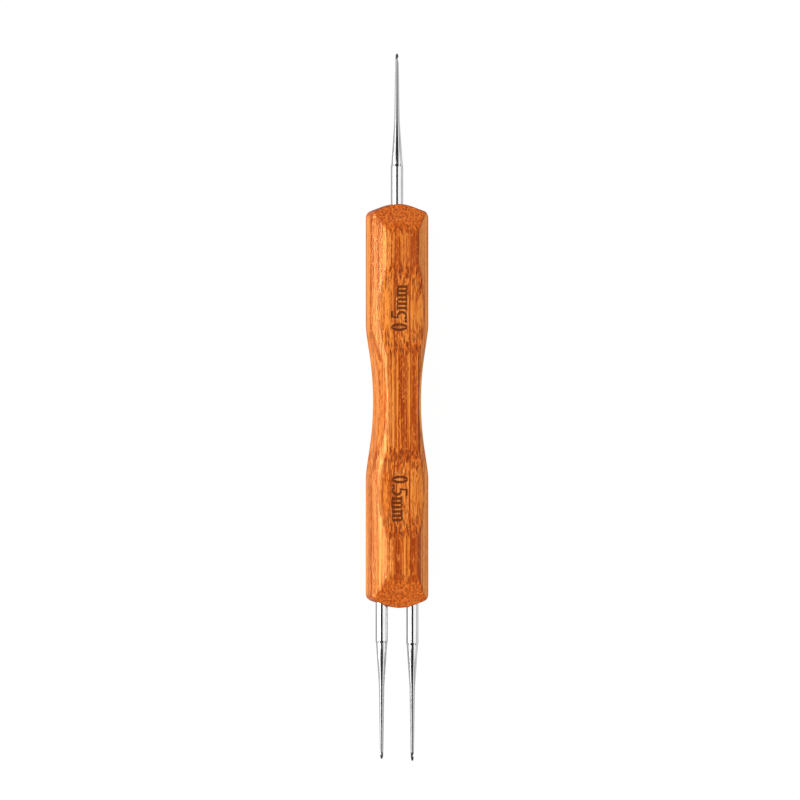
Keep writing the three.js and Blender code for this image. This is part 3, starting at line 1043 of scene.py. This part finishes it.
class HOOK_OT_stage(bpy.types.Operator):
    """Sets the camera above the tool, with a white floor and soft light from the left"""

    bl_idname = "hook.stage"
    bl_label = "Set the stage"

    def execute(self, context):
        handle, _, _, stage = set_up(context)
        self.add_camera(context, handle, stage)
        self.add_floor(stage)
        context.scene.world = self.world(stage)
        self.add_lamps(handle)
        self.add_cards(handle)
        context.scene.view_settings.view_transform = "Standard"
        return {"FINISHED"}

    def add_camera(self, context, handle, stage):
        """The camera stands above the tool, a little to its left, with a long lens."""
        camera = bpy.data.cameras.new("camera")
        camera.lens = camera.sensor_width * stage.view_distance / stage.view_width
        camera.clip_end = 10 * stage.view_distance
        stand = facing(handle, stage.view_turn, stage.view_right, stage.view_up, stage.view_distance)
        context.scene.camera = put("camera", camera, stand)

    def add_floor(self, stage):
        """A white floor that keeps the tool's faint shadow."""
        paper = new_finish("white_floor")
        lit = paper.node("ShaderNodeBsdfDiffuse", None, {"Color": PAPER})
        glow = paper.node("ShaderNodeEmission", None, {"Color": (1, 1, 1, 1), "Strength": PAPER_GLOW})
        shown = paper.seen() * (1 - stage.shadow)
        mixed = paper.node("ShaderNodeMixShader", None, {0: shown, 1: lit, 2: glow})
        half = stage.floor_size / 2
        put_sheet("floor", paper, mixed, stage.floor_size, -half, half)

    def world(self, stage):
        """White to the eye and in reflections, and plain soft light on the tool."""
        sky = Finish(bpy.data.worlds.new("studio"), "ShaderNodeOutputWorld")
        level = sky.seen() * (1 - stage.room_light) + stage.room_light
        return sky.close(sky.node("ShaderNodeBackground", None, {"Color": (1, 1, 1, 1), "Strength": level}))

    def add_lamps(self, handle):
        """A large soft lamp at the upper left, and a long low one at the left."""
        for name, turn, distance, width, watts in (
            ("upper_lamp", 44, 1.0, 0.6, 4.9),
            ("low_lamp", 84, 0.7, 0.2, 1.3),
        ):
            lamp = bpy.data.lights.new(name, "AREA")
            lamp.shape = "RECTANGLE"
            lamp.size = width
            lamp.size_y = LAMP_LENGTH
            lamp.energy = watts
            put(name, lamp, facing(handle, turn * DEG, 0, 0, distance))

    def add_cards(self, handle):
        """Cards that only show in reflections, each from one place along the handle to another."""
        low = handle.thickness / 2 - CARD_LIFT
        wood = (-WOOD_REACH, WOOD_REACH)
        cards = [
            ("dark_card", 22, 1.0, 1.1, (-1.5, 1.5), DARK),
            ("left_card", 74, CARD_DISTANCE, 0.011, wood, (50, 45, 38)),
            ("right_card", -78.5, CARD_DISTANCE, 0.025, wood, (0.34, 0.2, 0.1)),
            ("lower_card", 180, low, 0.06, wood, (1.1, 0.7, 0.32)),
        ]
        for end in (1, -1):
            needle = (end * NEEDLE_START, end * NEEDLE_END)
            cards += [
                ("shank_right_card", -78.5, CARD_DISTANCE, 0.025, (end * WOOD_REACH, end * 0.1), SHANK_GREY),
                ("shank_lower_card", 180, low, 0.06, (end * WOOD_REACH, end * 0.2), SHANK_GREY),
                ("tip_dark_card", 16, CARD_DISTANCE, 0.1, needle, DARK),
                ("tip_left_card", 90, CARD_DISTANCE, 0.026, needle, NEEDLE_GREY),
                ("tip_right_card", -66, CARD_DISTANCE, 0.04, needle, NEEDLE_GREY),
            ]
        for name, turn, distance, width, span, light in cards:
            matt = new_finish(name)
            glow = matt.node("ShaderNodeEmission", None, {"Color": (*light, 1)})
            stand = facing(handle, turn * DEG, 0, 0, distance)
            card = put_sheet(name, matt, glow, width, *span, stand)
            card.visible_camera = card.visible_diffuse = False
            card.visible_transmission = card.visible_shadow = False


class HOOK_OT_handle(bpy.types.Operator):
    """Carves the three strips of the handle, burns in its size and bores it for the pins"""

    bl_idname = "hook.handle"
    bl_label = "Carve the handle"

    def execute(self, context):
        handle, steel, looks, _ = set_up(context)
        places = seats(handle)
        for name in STRIPS:
            side = STRIPS.index(name) - 1
            points, details, faces = outer_strip(handle, side) if side else centre_strip(handle)
            points[:, 2] += handle.thickness / 2
            strip = closed_mesh(f"carved_strip_{name}", points, faces, details)
            cut(strip, bore(handle, steel, places[name]))
            radius = steel.shank / 2 + handle.bore_gap
            add_bake_map(handle, strip, name, radius, places[name].translation)
            material = bamboo(handle, looks, name)
            finish_piece(strip, SHARP_WOOD, material, f"bamboo_strip_{name}")
        return {"FINISHED"}


class HOOK_OT_hooks(bpy.types.Operator):
    """Grinds the three steel hooks and seats them in the handle"""

    bl_idname = "hook.hooks"
    bl_label = "Grind the hooks"

    def execute(self, context):
        handle, steel, looks, _ = set_up(context)
        material = polished_steel(looks)
        end = handle.length / 2
        embedded = end - single_low.y
        places = seats(handle)
        for name, strip, reach, working in (
            ("single_hook", "centre", single_high.y - end, steel.single_working),
            ("twin_hook_left", "left", -left_tip - end, steel.twin_working),
            ("twin_hook_right", "right", -twin_low.y - end, steel.twin_working),
        ):
            hook = lathe(f"ground_{name}", hook_wall(steel, embedded, reach, working))
            cut(hook, throat(steel, reach))
            hook.data.transform(places[strip])
            finish_piece(hook, SHARP_STEEL, material, name)
        return {"FINISHED"}


class HOOK_OT_glue(bpy.types.Operator):
    """Gives the cured glue under the pins its amber finish"""

    bl_idname = "hook.glue"
    bl_label = "Finish the glue"

    def execute(self, context):
        _, _, looks, _ = set_up(context)
        material = cured_glue(looks)
        for name in ("glue_single", "glue_twin_left", "glue_twin_right"):
            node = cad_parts[name]
            node.data.materials.clear()
            node.data.materials.append(material)
        return {"FINISHED"}


OPERATORS = (HOOK_OT_stage, HOOK_OT_handle, HOOK_OT_hooks, HOOK_OT_glue)


class HOOK_PT_panel(bpy.types.Panel):
    """Lists the steps that make the tool"""

    bl_label = "Crochet hook"
    bl_idname = "HOOK_PT_panel"
    bl_space_type = "VIEW_3D"
    bl_region_type = "UI"
    bl_category = "Crochet hook"

    def draw(self, context):
        for operator in OPERATORS:
            self.layout.operator(operator.bl_idname)
        for group in set_up(context):
            box = self.layout.box()
            for name in group.bl_rna.properties.keys():
                if name not in {"rna_type", "name"}:
                    box.prop(group, name, text=name.replace("_", " ").capitalize())


GROUPS = {
    "hook_handle": HandleSizes,
    "hook_steel": HookSizes,
    "hook_finishes": Finishes,
    "hook_stage": StageSizes,
}


def register():
    """Registers the settings, the operators and the panel."""
    for name, group in GROUPS.items():
        bpy.utils.register_class(group)
        setattr(bpy.types.Scene, name, PointerProperty(type=group))
    for kind in (*OPERATORS, HOOK_PT_panel):
        bpy.utils.register_class(kind)


def unregister():
    """Takes the panel, the operators and the settings out again."""
    for kind in (HOOK_PT_panel, *reversed(OPERATORS)):
        bpy.utils.unregister_class(kind)
    for name, group in reversed(GROUPS.items()):
        delattr(bpy.types.Scene, name)
        bpy.utils.unregister_class(group)


def main():
    """Makes the whole tool and its stage."""
    register()
    bpy.ops.hook.stage()
    bpy.ops.hook.handle()
    bpy.ops.hook.hooks()
    bpy.ops.hook.glue()


if __name__ == "__main__":
    main()
